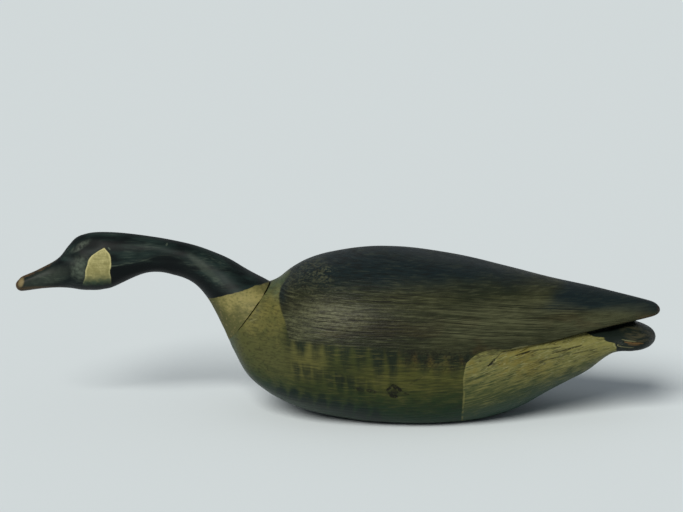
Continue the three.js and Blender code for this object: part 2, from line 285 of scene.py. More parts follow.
def neckFinish():
    look = neck
    material, shader, place = newFinish("paintedNeck", look["gloss"])
    x, y, z = place.parts()
    near = y.rise(1, -1)
    ragged = place.wobble((7, 7, 7), 0.7, 3)
    hand = place.wobble((26, 26, 26), 1.1, 2, 5)

    cheek = (x - z.curve(look["cheekFront"]) + ragged * 0.6).rise(-0.5, 0.5)
    cheek = cheek * (z.curve(look["cheekBack"]) - x + ragged * 0.6).rise(-0.5, 0.5)
    cheek = cheek * (look["cheekTop"] - z).rise(-0.5, 0.8)
    overCheekFoot = z - look["cheekFoot"] + place.wobble((6, 6, 9), 2.4, 3, 2)
    cheek = cheek * (overCheekFoot.rise(-5, 5) * 0.7 + overCheekFoot.rise(0, 13) * 0.3)
    rim = (x - z.curve(look["cheekFront"])).low(z.curve(look["cheekBack"]) - x).low(look["cheekTop"] - z)
    tan = (x.curve(look["blackFoot"]) - z + ragged * 0.8 + hand * 0.6).rise(-0.6, 0.6)

    stroke = place.noise((46, 7, 7), 3, 1)  # brush strokes run along the neck
    fine = place.noise((26, 1.8, 1.8), 2, 4)
    patchy = place.noise((34, 20, 20), 3, 8)
    speck = place.noise((1.5, 1.5, 1.5), 2, 10)
    overChine = z - x.curve(look["chine"]) + ragged
    mottle = place.noise((5, 5, 5), 3, 12)
    soft = x.rise(-240, -214) * 0.85 + 0.15  # the border of the dark underside blurs towards the body
    # the underside below the carved edge goes deep black: partly black paint, partly painted shade
    under = overChine / soft + ((patchy - 0.5) * 20 + (stroke - 0.5) * 26 + (mottle - 0.5) * 12) * soft
    under = under.rise(9, -15) * x.rise(-272, -258)
    black = (stroke * 0.5 + patchy * 0.5).rise(0.36, 0.64).mix(look["deepBlack"], look["black"])
    # painted shade: the black darkens below the carved edge
    black = (0.35 + overChine.rise(-4, 8) * 0.65).mix(look["deepBlack"], black)
    black = (under * 0.9).mix(black, look["deepBlack"])
    # painted shade: the side of the crown goes towards deep black, and rougher, to dull a highlight
    crest = smudge(x, z, *look["crest"])
    black = (crest * 0.7).mix(black, look["deepBlack"])
    rubbedAndHighlit = patchy.rise(0.46, 0.7) * fine.rise(0.45, 0.65) * 0.3 + speck.rise(0.66, 0.8) * patchy * 0.6
    # painted highlights on the brow and jaw, with paler patches on the bill and the side of the neck
    browHighlight = smudge(x, z, *look["browHighlight"]) * mottle.rise(0.3, 0.6) * 0.6
    jawHighlight = smudge(x, z, *look["jawHighlight"]) * mottle.rise(0.1, 0.7) * 0.75
    bill = smudge(x, z, *look["bill"]) * 0.28
    side = smudge(x, z, *look["side"]) * 0.3
    patchesAndHighlights = browHighlight.top(jawHighlight).top(bill).top(side) * (0.4 + mottle * 1.2)
    rubbedAndHighlit = (rubbedAndHighlit + patchesAndHighlights).low(0.9) * (1 - under)
    black = rubbedAndHighlit.mix(black, look["rubbedAndHighlit"])
    edge = abs(overChine - 0.8).rise(1.3, 0.2) * x.curve(look["chineShow"])
    black = (edge * fine.rise(0.3, 0.6) * 0.5).mix(black, look["rubbedAndHighlit"])

    level = place.noise((12, 8, 1.4), 3, 6)
    # the cheek patch is lighter along its rim: partly thicker paint, partly a painted highlight
    cheekTone = level * 0.3 + mottle * 0.4 + speck * 0.2 + (z - 168) / 220 + rim.rise(2.6, 0.2) * 0.2
    cheekTone = cheekTone.rise(0.38, 0.78).mix(look["cheekShade"], look["cheek"])
    cheekTone = (z + (mottle - 0.5) * 12).rise(172, 153).mix(cheekTone, look["cheekLow"])
    lit = (z - x.curve(look["blackFoot"])).rise(-34, -2) * 0.5 + x.rise(-150, -90) * 0.15
    # the tan darkens towards the front of the neck: painted shade
    tanTone = (place.noise((12, 12, 8), 4, 9) * 0.7 + lit - abs(y).rise(44, 20) * 0.45).rise(0.34, 0.95)
    tanTone = tanTone.mix(look["tanShade"], look["tan"])
    grime = place.noise((3.6, 6, 2.4), 4, 13)
    tanTone = (speck.rise(0.6, 0.72) * mottle.rise(0.4, 0.6) * 0.5).mix(tanTone, look["tanShade"])
    tanTone = (grime.rise(0.5, 0.34) * 0.5).mix(tanTone, look["tanShade"])
    tanTone = (grime.rise(0.52, 0.68) * 0.3).mix(tanTone, look["paleWood"])

    tipX, tipZ = look["billTip"]
    ahead, above = x - tipX, z - tipZ
    fromTip = (ahead * ahead + y * y + above * above).math("SQRT") + place.wobble((5, 3, 3), 2.5, 3, 3)
    bare = fromTip.rise(15, 4) * 0.6
    # the bill is worn along its ridge and its low edge
    culmen = (z - x.curve(look["culmen"]) + ragged + (mottle - 0.5) * 4).rise(-3.2, 0)
    culmen = culmen * x.rise(-328, -342)
    lowEdge = (z + ragged * 0.5).rise(153, 150.5) * x.rise(-314, -334)
    bare = bare.top((culmen * 0.7 + lowEdge * 0.45) * fine.rise(0.25, 0.6))
    tip = smudge(x, z, *look["tip"]) * 0.8
    chips = slashes(x + ragged * 0.3, z, look["marks"]) * near

    colour = tan.mix(black, tanTone)
    colour = cheek.mix(colour, cheekTone)
    colour = bare.mix(colour, look["bareWood"])
    colour = (tip * (0.5 + mottle * 0.7)).low(0.85).mix(colour, look["paleWood"])
    colour = chips.mix(colour, look["rubbedAndHighlit"])
    colour = jointDirt(place, x, z).mix(colour, joint["dirtAndShadow"])

    light = (tan + cheek + bare).low(1)
    roughness = look["roughness"] + stroke * 0.16 + light * 0.14 + crest * 0.2 - 0.06
    height = stroke * 0.14 + fine * 0.05 + light * 0.12 + cheek * level * 0.12 - chips * 0.2
    wire(shader, colour, roughness, height)
    return material


body = {
    "gloss": 0.12,
    "roughness": 0.42,
    "tan": (98, 93, 50),
    "tanShade": (64, 66, 36),
    "hollow": (76, 88, 66),  # the paler stripe before the back: a painted reflection in the hollow there
    "frontShade": (46, 64, 42),
    "flank": (46, 52, 24),
    "flankGlow": (64, 65, 28),
    "rust": (62, 46, 24),
    # darker, greener paint low on the flank, partly painted shade
    "lowFlankAndShade": (3, 37, 17),
    "dab": (23, 31, 20),
    # the same for the low dabs, partly painted shade
    "dabLowAndShade": (2, 24, 16),
    "back": (51, 53, 33),
    "backShade": (28, 33, 20),
    # near black paint, also painted shade on the crown and along the back's front edge
    "backBlackAndShade": (10, 24, 29),
    "backPaleAndHighlight": (98, 100, 73),  # where the dark paint has worn thin; also the colour of the painted highlight on the shoulders
    "ringLine": (9, 10, 5),
    "rump": (104, 102, 59),
    "rumpShade": (54, 63, 36),
    "rumpPale": (128, 126, 88),
    # darker, greener paint low on the rump, partly painted shade
    "rumpLowAndShade": (16, 50, 36),
    "ochre": (98, 88, 38),
    "tail": (20, 27, 23),
    "tailWorn": (66, 62, 44),
    "bareWood": (92, 70, 40),
    "redWood": (62, 38, 26),
    # dark dirt; also the colour of the painted shadow under the wing's edge
    "dirtAndShadow": (13, 13, 9),
    "footWood": (92, 80, 60),
    # places in mm
    "backFront": [(106, -55), (122, -60.3), (130, -62.5), (137, -66), (145, -68.2), (152.5, -68.3),
                  (159.5, -64.8), (166, -59.4), (176, -52.5)],
    "backFoot": [(-60, 106.4), (-10, 104.9), (69, 98.3), (142, 91.2), (160, 94.5), (183, 94.4),
                 (220, 97.6), (256, 101.2), (305, 107.2), (356, 113), (380, 117)],
    "darkFoot": [(234, 134), (279, 130), (360, 120)],  # of the near black part before the tips
    "rumpFront": [(6, 141.4), (38, 141.4), (80.7, 143.8), (86, 148), (91, 154), (94.5, 163), (97, 176)],
    "tailFront": [(84, 322), (87.5, 320.5), (92.8, 319.6), (94.6, 312.5), (96.6, 308.5), (99, 306),
                  (99.7, 296), (101, 291), (104, 287)],
    "ringSpacing": 4.1,
    "ringSpread": [(60, 1), (180, 0.82), (380, 0.4)],  # the rings draw together towards the tail
    "ringSwell": ((-8, 132), (58, 20)),  # and arch over this place on the left shoulder
    # soft patches of colour: the middle, how far they reach and how steeply they climb
    "glow": ((80, 66), (80, 26)),
    "flankTan": ((-38, 92), (30, 34)),
    # painted highlight on both shoulders
    "shoulderHighlight": ((-11, 133), (50, 23)),
    "underShoulderHighlight": ((-46, 122), (20, 22)),
    "thin": ((-22, 176), (24, 10)),
    "specks": ((-34, 158), (30, 34)),
    "streaky": ((182, 127), (105, 23)),
    "streakyTip": ((300, 118), (70, 14), 0.1),
    "crazed": ((-24, 164), (42, 24)),
    "underCrazed": ((-44, 138), (24, 32)),
    "netted": ((112, -5), (66, 16)),  # this one lies along the foot of the dark back
    "dull": ((350, 99), (22, 7), -0.2),
    "smeared": ((62.5, 51), (10, 9)),  # round the gouge
    # rows of dabs: how far apart, how far below the dark back, length (less than nothing for dabs with
    # their round ends up), how far along the side, strength and how steeply the row drops
    "dabRows": [(17.3, -9, 41, (-60, 150), 1.3, 0),
                (12.4, 28, 21, (-54, 34), 0.9, 0.13),
                (15.5, 68, -22, (-76, 50), 1.6, 0.22)],
    # cuts, splits and scratches on its left side: start and end as (x, z), width and depth
    "marks": [((54.0, 51.6), (61.8, 59.0), 3.0, 1.0), ((60.2, 59.0), (71.4, 51.0), 4.6, 1.2),
              ((57.6, 46.6), (67.0, 43.6), 5.0, 1.3), ((54.6, 53.6), (59.6, 45.0), 2.0, 0.5),
              ((58.8, 50.8), (67.4, 49.8), 7.6, 0.45), ((71.0, 50.6), (80.0, 46.8), 2.4, 0.3),
              ((16.0, 54.6), (29.0, 51.2), 4.2, 0.5), ((31.0, 52.4), (43.5, 49.2), 4.6, 0.5),
              ((80.0, 60.0), (94.0, 68.6), 3.0, -0.3), ((169.6, 77.0), (177.6, 84.6), 2.8, 1.0),
              ((176.0, 83.0), (184.0, 91.0), 1.4, 0.1),
              ((183.0, 92.4), (202.0, 93.6), 1.8, 0.6), ((200.0, 86.6), (220.0, 91.4), 2.0, 0.7),
              ((217.0, 91.2), (256.0, 93.2), 1.6, 0.3), ((243.0, 86.0), (281.0, 93.2), 1.6, 0.7),
              ((221.0, 77.2), (258.0, 82.2), 1.3, 0.2), ((262.0, 83.4), (299.5, 88.0), 1.4, 0.3)],
    # the same on its right side
    "farMarks": [((-34.0, 66.0), (-20.0, 73.0), 3.0, 1.0), ((112.0, 60.0), (131.0, 56.0), 2.4, 0.7),
                 ((176.0, 80.0), (204.0, 84.0), 2.2, 0.8), ((214.0, 90.0), (268.0, 94.0), 2.2, 0.7),
                 ((232.0, 78.0), (272.0, 86.0), 1.8, 0.5)],
    # chips down to the wood, then pale scrapes
    "chips": [((330.0, 94.6), (354.0, 91.6), 2.2, 1.0), ((334.0, 91.8), (349.0, 90.6), 1.4, 0.2)],
    "scrapes": [((327.0, 97.0), (345.0, 94.6), 1.3, 0.4), ((323.0, 89.4), (342.0, 87.8), 1.3, 0.0),
                ((317.0, 92.0), (321.0, 88.0), 2.4, 0.8), ((322.0, 91.2), (326.4, 89.4), 2.2, 0.8),
                ((-105.2, 118.0), (-93.6, 122.6), 1.2, 0.1), ((196.0, 95.6), (216.0, 97.4), 1.8, 0.2)],
    "valley": [(-71, 148), (-66, 158), (-60, 167), (-54, 174)],  # the hollow just before the back
    "valleySpread": 12,
    "valleyDepth": 0.4,
    "breast": ((-100, 60), (27, 32)),  # the front of the breast: its middle and how far it reaches
    "breastFill": 2.6,  # how much fuller the carver left it
    # how much fuller the tail is, and how the share of that goes along the bird and by height
    "tailFill": 2.0,
    "tailShow": [(318, 0), (338, 1), (352, 0.9), (367, 0)],
    "tailShowUp": [(108, 1), (111, 0)],
    "crown": (6, 46),  # the top of the back: its middle and how far it reaches along the bird
    "crownTrim": 0.8,  # how much lower the knife left it
    "crownShowUp": [(170, 0), (188, 1)],
    "facets": (24, 1.3, 0.0),  # knife marks: their width and depth, and a shift of the pattern
    "flankPasses": 60,  # how well the flank is sanded
    "flankShow": [(-90, 0), (-70, 1), (140, 1), (170, 0)],
    "flankShowUp": [(8, 0), (22, 1), (84, 1), (92, 0)],
}


def chance(cell):  # 0 to 1, by chance for each whole number
    return cell.node("TexWhiteNoise", {"noise_dimensions": "1D"}, {"W": cell})


def dabRow(place, x, overFoot, number, pitch, below, length, reach, strength, drop):
    turn = (x + place.wobble((26, 26, 60), 3.5, 2, 30 + number)) / pitch + number * 0.37
    cell = turn.math("FLOOR") + number * 7.3
    swell = 0.85 + x.rise(-60, 20) * 0.35 - x.rise(50, 90) * 0.3  # the dabs are longest in mid flank
    long = length * (0.75 + chance(cell) * 0.35) * swell
    height = overFoot + below + (x - reach[0]) * drop + place.wobble((5, 5, 9), 4, 3, 40 + number)
    height = (height + long) / long  # 0 at the round end of a dab, 1 at the other
    aside = abs(turn.math("FRACT") - 0.5 + (height - 0.5) * 0.1)
    dab = (aside - 0.31 - height * 0.13 - place.wobble((5, 5, 12), 0.09, 3, 45)).rise(0.2, -0.16)
    dab = dab * (height - aside * aside * 2).rise(-0.35, 0.8) * (1.25 - height).rise(-0.2, 0.45)
    hairs = (0.5 + place.noise((1.8, 3, 22), 3, 44) * 0.8) * (0.7 + chance(cell + 40) * 0.4)
    dab = dab * hairs * strength
    dab = dab * x.rise(reach[0] - 8, reach[0] + 8) * x.rise(reach[1] + 10, reach[1] - 6)
    return dab.low(1)


def grownRings(place, x, z, near):  # the height of each place in the plank, bent as the wood grew
    spread = x.curve(body["ringSpread"])
    field = (z - 112) / spread + x * 0.05
    middle, reach = body["ringSwell"]
    ahead, above = (x - middle[0]) / reach[0], (z - middle[1]) / reach[1]
    field = field + (ahead * ahead + above * above).math("MULTIPLY", -1).math("EXPONENT") * near * 3.5
    return field + place.wobble((240, 40, 22), 2.4, 2, 11) + place.wobble((14, 12, 5), 0.7, 4, 12)


def bodyFinish():
    look = body
    material, shader, place = newFinish("paintedBody", look["gloss"])
    x, y, z = place.parts()
    ragged = place.wobble((7, 7, 7), 0.8, 3)
    hand = place.wobble((30, 30, 30), 1.6, 2, 5)
    near = y.rise(2, -2)  # 1 on the left side

    field = grownRings(place, x, z, near)
    broken = place.noise((18, 12, 3), 3, 13)  # the lines break up along their length
    ring = ringLine(field, look["ringSpacing"]) * broken.rise(0.34, 0.5)
    fineRing = ringLine(field + place.wobble((50, 16, 4), 0.8, 2, 15), look["ringSpacing"] / 2.2)
    strength = place.noise((90, 40, 7), 3, 20).rise(0.4, 0.6)  # some rings show more than others

    # where each colour lies
    overFoot = z - x.curve(look["backFoot"])
    back = (x - z.curve(look["backFront"]) + hand * 0.7 + ragged).rise(-1.4, 1.4)
    carved = x.rise(160, 205)  # further back a carved edge parts back and rump, so the line is sharp
    feather = hand + ragged * 1.6 + place.wobble((2.6, 4, 24), 2.5, 3, 46)
    back = back * (overFoot + feather * (1 - carved)).rise(carved * 3.5 - 4.5, 4.5 - carved * 4)
    rump = (x - z.curve(look["rumpFront"]) + hand * 0.6 + ragged * 0.6).rise(-0.8, 0.8)
    tail = (x - z.curve(look["tailFront"]) + ragged * 2.2).rise(-1, 1)
    dabs = None
    for number, row in enumerate(look["dabRows"]):
        dab = dabRow(place, x, overFoot, number, *row)
        dabs = dab if dabs is None else dabs.top(dab)

    patchy = place.noise((60, 40, 30), 3, 50)
    mottle = place.noise((10, 10, 7), 4, 51)
    grainy = place.noise((40, 14, 2.0), 3, 52)
    sloping = place.leaned(-7).noise((150, 40, 1.2), 4, 53)
    speck = place.noise((1.7, 1.7, 1.4), 2, 57)
    grit = place.noise((3.4, 3.2, 2.4), 3, 66)
    grime = place.noise((4, 6, 2.4), 4, 68)
    dashes = place.noise((16, 14, 1.7), 4, 69)  # short level marks
    net = place.crackle((6.5, 6, 4), 64).rise(0.2, 0.02)
    net = net * place.noise((14, 12, 9), 3, 65).rise(0.4, 0.56)

    # breast and flank, greener and darker towards the foot, partly painted shade
    breast = (mottle * 0.6 + patchy * 0.4 + (z - 122) / 130).rise(0.3, 0.78)
    breast = breast.mix(look["tanShade"], look["tan"])
    # painted reflection: a paler stripe in the hollow just before the back
    valleyReflection = (x - z.curve(look["backFront"]) + hand).rise(-13, -5) * z.rise(138, 152)
    breast = (valleyReflection * mottle.rise(0.2, 0.7) * 0.7).mix(breast, look["hollow"])
    breast = (abs(y).rise(50, 22) * (0.45 + mottle * 0.5)).mix(breast, look["frontShade"])
    glow = smudge(x, z, *look["glow"])
    flank = (patchy * 0.3 + grainy * 0.3 + mottle * 0.2 + glow * 0.25).rise(0.4, 0.74)
    flank = flank.mix(look["flank"], look["flankGlow"])
    flank = (smudge(x, z, *look["flankTan"]) * 0.44).mix(flank, look["tan"])
    ground = (x + hand * 6).rise(-80, -30).mix(breast, flank)
    lowest = z + hand * 4 + (mottle - 0.5) * 34 - x.rise(-30, -105) * 24 + x.rise(-20, 40) * 5
    lowest = lowest.rise(64, 12)
    ground = lowest.mix(ground, look["lowFlankAndShade"])
    rust = overFoot.rise(-26, 0) * x.rise(20, 90) * (patchy * 0.5 + mottle * 0.5).rise(0.4, 0.56)
    ground = (rust * 0.6).mix(ground, look["rust"])
    # the dabs darken towards the foot, partly painted shade
    ground = dabs.mix(ground, z.rise(66, 48).mix(look["dab"], look["dabLowAndShade"]))
    ground = (ring * strength * x.rise(-80, -30) * 0.4).mix(ground, look["dab"])
    breastGrime = grime.rise(0.5, 0.34) * x.rise(-30, -80) * 0.4
    ground = breastGrime.top(dashes.rise(0.5, 0.34) * 0.32).mix(ground, look["dirtAndShadow"])
    ground = (dashes.rise(0.53, 0.66) * x.rise(-80, -40) * (1 - lowest) * 0.24).mix(ground, look["tan"])

    # the dark back: brown streaks, near black before the tips, and near black on the crown and along its
    # front edge, partly painted shade
    rear = x.rise(30, 150)
    streaks = grainy * (1 - rear) + sloping * rear
    top = (patchy * 0.55 + streaks * 0.45).rise(0.33, 0.67).mix(look["backShade"], look["back"])
    top = (patchy.rise(0.5, 0.38) * overFoot.rise(60, 0) * 0.35).mix(top, look["rust"])
    behind = (x - 232 - (z - 137) * 1.5 + hand * 3).rise(-14, 16)
    behind = behind * (z - x.curve(look["darkFoot"])).rise(-5, 6)
    # partly painted shade: the crown and a band along the back's front edge go near black
    brinkPaintAndShade = (x - z.curve(look["backFront"]) + hand * 2).rise(15, 3) * z.rise(134, 152)
    crown = (z - 165 + hand * 3).rise(-14, 14).top(behind).top(brinkPaintAndShade * 0.8)
    top = (crown * (0.8 + streaks * 0.2)).mix(top, look["backBlackAndShade"])
    worn = z.rise(172, 200) * patchy.rise(0.44, 0.64) * streaks.rise(0.38, 0.6) * speck.rise(0.3, 0.55)
    top = (worn * 0.3).mix(top, look["back"])
    # painted highlight on the shoulder, broken by mottle and grit
    shoulderHighlight = smudge(x, z, *look["shoulderHighlight"]).top(smudge(x, z, *look["underShoulderHighlight"]) * 0.9)
    shoulderHighlight = shoulderHighlight * (0.06 + mottle * 0.34 + grit.rise(0.44, 0.6) * 0.34)
    thin = smudge(x, z, *look["thin"]) * near
    thin = thin * grit.rise(0.44, 0.58) * mottle.rise(0.36, 0.54) * 0.38
    specks = smudge(x, z, *look["specks"]) * grit.rise(0.54, 0.62) * 0.36
    streaky = smudge(x, z, *look["streaky"]) * sloping.rise(0.36, 0.64) * 0.46
    streaky = streaky.top(smudge(x, z, *look["streakyTip"]) * 0.22)
    top = shoulderHighlight.top(thin).top(specks).top(streaky).mix(top, look["backPaleAndHighlight"])
    top = (overFoot.rise(36, 6) * x.rise(-25, 20) * (1 - rear) * 0.6).mix(top, look["backShade"])
    top = (dashes.rise(0.5, 0.34) * (1 - rear * 0.5) * 0.55).mix(top, look["dirtAndShadow"])
    paleDashes = dashes.rise(0.52, 0.66) * (1 - crown * 0.7) * (1 - rear * 0.5)
    top = (paleDashes * 0.28).mix(top, look["backPaleAndHighlight"])
    show = (0.5 + strength * 0.5) * (1 - crown * 0.6) * (1 - rear * 0.6)
    crazed = smudge(x, z, *look["crazed"]).top(smudge(x, z, *look["underCrazed"]) * 0.6)
    lines = ring.top(fineRing * 0.6) * (1 - crazed * 0.5)
    lines = lines.top(crazed * (grit.rise(0.5, 0.6) * 0.8).top(net * 0.8)) * show
    top = lines.mix(top, look["ringLine"])
    colour = back.mix(ground, top)
    netted = (net * 0.8).top(grit.rise(0.5, 0.62) * mottle.rise(0.36, 0.56))
    netted = netted * smudge(x, overFoot, *look["netted"]) * (1 - rump * (1 - back))
    colour = (netted * 0.7).mix(colour, look["dirtAndShadow"])

    # rump and tail
    light = rump * (1 - back)
    leaned = place.leaned(15)
    rising = leaned.noise((18, 8, 1.6), 4, 54)
    pale = (rising * 0.7 + mottle * 0.3 + (z - 74) / 260).rise(0.28, 0.6)
    pale = pale.mix(look["rumpShade"], look["rump"])
    ochre = (patchy * 0.5 + mottle * 0.5).rise(0.46, 0.6) * z.rise(50, 74) * x.rise(280, 200)
    pale = (ochre * 0.6).mix(pale, look["ochre"])
    flecks = leaned.noise((8, 3, 1.3), 3, 55).rise(0.54, 0.68)
    pale = (flecks * z.rise(40, 80) * 0.6).mix(pale, look["rumpPale"])
    # greener and darker towards the foot, partly painted shade
    pale = (z + (mottle - 0.5) * 14 - (x - 200) * 0.3).rise(52, 8).mix(pale, look["rumpLowAndShade"])
    colour = light.mix(colour, pale)
    rim = (x - z.curve(look["rumpFront"]) + hand * 0.6 + ragged * 0.6 - 1.0).rise(1.8, 0.2) * light
    colour = (rim * mottle.rise(0.35, 0.6) * 0.7).mix(colour, look["rump"])
    splits = leaned.crackle((36, 18, 2.4), 62).rise(0.1, 0.0)
    splits = splits * leaned.noise((20, 12, 8), 3, 63).rise(0.46, 0.56) * light * z.rise(40, 76)
    colour = (splits * 0.55).mix(colour, look["dirtAndShadow"])
    dull = place.leaned(-5).noise((12, 8, 2), 4, 56).rise(0.36, 0.62)
    dull = dull * smudge(x, z, *look["dull"])
    onTail = tail * (1 - back)
    colour = onTail.mix(colour, (dull * 0.6).mix(look["tail"], look["tailWorn"]))

    # painted shadow under the wing's edge, then wear
    wingEdgeShadow = abs(overFoot + 0.9).rise(1.8, 0.3) * x.rise(190, 250) * x.rise(345, 325)
    colour = (wingEdgeShadow * 0.85).mix(colour, look["dirtAndShadow"])
    edge = abs(overFoot - 2).rise(4, 0) * x.rise(290, 350) * grainy.rise(0.4, 0.6)
    tips = (x + (mottle - 0.5) * 16).rise(374, 383)
    colour = (edge * 0.5 + tips * 0.6).low(1).mix(colour, look["redWood"])
    bentX, bentZ = x + ragged * 0.5, z + hand * 0.15 + ragged * 0.3
    cuts = slashes(bentX, bentZ, look["marks"]) * near
    cuts = cuts.top(slashes(bentX, bentZ, look["farMarks"]) * (1 - near))
    rough = place.noise((7, 3, 1.6), 3, 58).rise(0.28, 0.42) * near
    chips = slashes(bentX, bentZ, look["chips"]) * rough
    scrapes = slashes(bentX, bentZ, look["scrapes"]) * rough
    colour = (chips * 0.75).mix(colour, look["bareWood"])
    colour = (scrapes * 0.5).mix(colour, look["rumpPale"])
    smeared = smudge(bentX, bentZ, *look["smeared"]) * mottle.rise(0.35, 0.6) * near
    colour = (smeared * 0.6).mix(colour, look["backShade"])
    colour = (cuts * place.noise((2.4, 2.4, 2.4), 3, 59).rise(0.3, 0.5) * 0.9).mix(colour, look["dirtAndShadow"])
    foot = (z + ragged * 0.4).rise(1.2, 0.3)
    colour = foot.mix(colour, grainy.rise(0.3, 0.7).mix(look["dirtAndShadow"], look["footWood"]))
    colour = jointDirt(place, x, z).mix(colour, joint["dirtAndShadow"])

    wrinkle = place.crackle((6, 4, 2.6), 61).rise(0.0, 0.25)
    roughness = look["roughness"] + lines * back * 0.16 + (grainy - 0.5) * 0.2 + (chips + foot) * 0.2
    height = (0.16 - lines * 0.36) * back + (1 - ring) * 0.05 + grainy * 0.08 + mottle * 0.06
    height = height - splits * 0.3 - cuts * 0.4 - chips * 0.15 + (rising + flecks * 0.4) * light * 0.35
    height = height - netted * 0.15
    height = height + wrinkle * (0.02 + 0.05 * back) + speck * 0.05
    wire(shader, colour, roughness, height)
    return material


def pickOnly(piece):
    bpy.ops.object.select_all(action="DESELECT")
    piece.select_set(True)
    bpy.context.view_layer.objects.active = piece


def pickFaces(piece, wanted):  # into edit mode, with only the wanted faces selected
    pickOnly(piece)
    bpy.ops.object.mode_set(mode="EDIT")
    bpy.ops.mesh.select_mode(type="FACE")
    bpy.ops.mesh.select_all(action="DESELECT")
    bpy.ops.object.mode_set(mode="OBJECT")
    for face in piece.data.polygons:
        face.select = wanted(face)
    bpy.ops.object.mode_set(mode="EDIT")


def pastJoint(point):  # how far a point lies past the glue face of the neck, into the body
    return (point - jointTop).dot(jointWay)


def onJoint(face):  # true for a face of either glued end
    return abs(face.normal.dot(jointWay)) > 0.995 and abs(pastJoint(face.center)) < 2 * joint["gap"] * mm


def between(points, place):  # the value at a place on a line through (place, value) points
    if place <= points[0][0]:
        return points[0][1]
    for (start, first), (end, last) in zip(points, points[1:]):
        if place <= end:
            return first + (last - first) * (place - start) / (end - start)
    return points[-1][1]


def farFrom(line, x, z):  # how far a place on the side is from a line of (x, z) points
    nearest = 1000
    here = Vector((x, z))
    for start, end in zip(line, line[1:]):
        start, end = Vector(start), Vector(end)
        along = intersect_point_line(here, start, end)[1]
        nearest = min(nearest, (here - start.lerp(end, min(max(along, 0), 1))).length)
    return nearest


def dome(far, reach):  # 1 at no distance, falling softly to 0 at the reach
    return max(0, 1 - (far / reach) ** 2) ** 2


def mound(x, z, middle, reach):  # the same round a middle on the side, with a reach along and up
    return dome(math.hypot((x - middle[0]) / reach[0], (z - middle[1]) / reach[1]), 1)


def modifierWhere(piece, kind, shareAt):  # a new modifier that works where shareAt is 1
    group = piece.vertex_groups.new(name="share")
    for point in piece.data.vertices:
        share = shareAt(*(point.co / mm))
        if share > 0:
            group.add([point.index], min(share, 1), "REPLACE")
    pickOnly(piece)
    modifier = piece.modifiers.new("work", kind)
    modifier.vertex_group = group.name
    return modifier


def applied(piece, modifier):
    bpy.ops.object.modifier_apply(modifier=modifier.name)
    piece.vertex_groups.clear()


def pushWood(piece, reach, shareAt, texture=None, grain=None):  # out by reach mm where shareAt is 1
    push = modifierWhere(piece, "DISPLACE", shareAt)
    push.strength = reach * mm
    push.mid_level = 0.5 if texture else 0
    if texture:
        push.texture = texture
        push.texture_coords = "OBJECT"
        push.texture_coords_object = grain
    applied(piece, push)


def sandDown(piece, passes, shareAt):  # smooths the wood where shareAt is 1
    sand = modifierWhere(piece, "SMOOTH", shareAt)
    sand.iterations = passes
    applied(piece, sand)


carving = {  # in mm and degrees
    "facetStretch": 2.6,  # how much longer than wide the knife marks are
    "byJoint": (2.5, 6),  # how wide a strip the knife keeps off, and how soon it then cuts in full
    "byFoot": (1, 5),
    "deepMark": 0.5,  # marks of at least this depth are cut into the wood, the others only painted
    "markRim": 3.5,  # how far round them the faces are made smaller
    "markSplits": 2,  # and by how many cuts across each face
    "markHalf": 0.7,  # the half width of a cut for each mm of its mark's width
    "weld": 0.005,
    "quadAngle": 60,
    "shadeAngle": 50,
    "levels": 2,
}


def freeWood(x, y, z):  # 1 where knife marks may go, 0 beside the glue joint and the flat foot
    fromJoint = abs(pastJoint(Vector((x, y, z)) * mm)) / mm
    strip, soon = carving["byJoint"]
    free = min(1, max(0, fromJoint - strip) / soon)
    strip, soon = carving["byFoot"]
    return free * min(1, max(0, z - strip) / soon)


def refine(piece, wanted):  # smaller faces where wanted(x, y, z) is true
    pickFaces(piece, lambda face: wanted(*(face.center / mm)))
    bpy.ops.mesh.subdivide(number_cuts=carving["markSplits"], smoothness=1)
    bpy.ops.object.mode_set(mode="OBJECT")


def knifeWork(piece, size, reach, shift):  # the long shallow facets that the knife left
    bpy.ops.object.empty_add(location=(shift, 0, 0))
    grain = bpy.context.active_object
    grain.scale = (carving["facetStretch"], 1, 1)
    bpy.context.view_layer.update()
    facets = bpy.data.textures.new("facets", "CLOUDS")
    facets.noise_scale = size * mm
    facets.noise_depth = 0
    pushWood(piece, reach, freeWood, facets, grain)
    bpy.data.objects.remove(grain)


def beside(mark, x, y, z, side, reach):  # true within reach of a mark's box on one side of the bird
    (startX, startZ), (endX, endZ) = mark[:2]
    inside = min(startX, endX) - reach < x < max(startX, endX) + reach
    return inside and min(startZ, endZ) - reach < z < max(startZ, endZ) + reach and y * side > 0


def cutMarks(piece, marks, side):  # side is -1 on the left of the bird and 1 on its right
    deep = [mark for mark in marks if mark[3] >= carving["deepMark"]]
    rim, half = carving["markRim"], carving["markHalf"]
    refine(piece, lambda x, y, z: any(beside(mark, x, y, z, side, rim) for mark in deep))
    most = max(mark[3] for mark in deep)

    def share(x, y, z):
        close = [mark for mark in deep if beside(mark, x, y, z, side, mark[2])]
        depths = [dome(farFrom(mark[:2], x, z), mark[2] * half) * mark[3] / most for mark in close]
        return max(depths, default=0)

    pushWood(piece, -most, share)


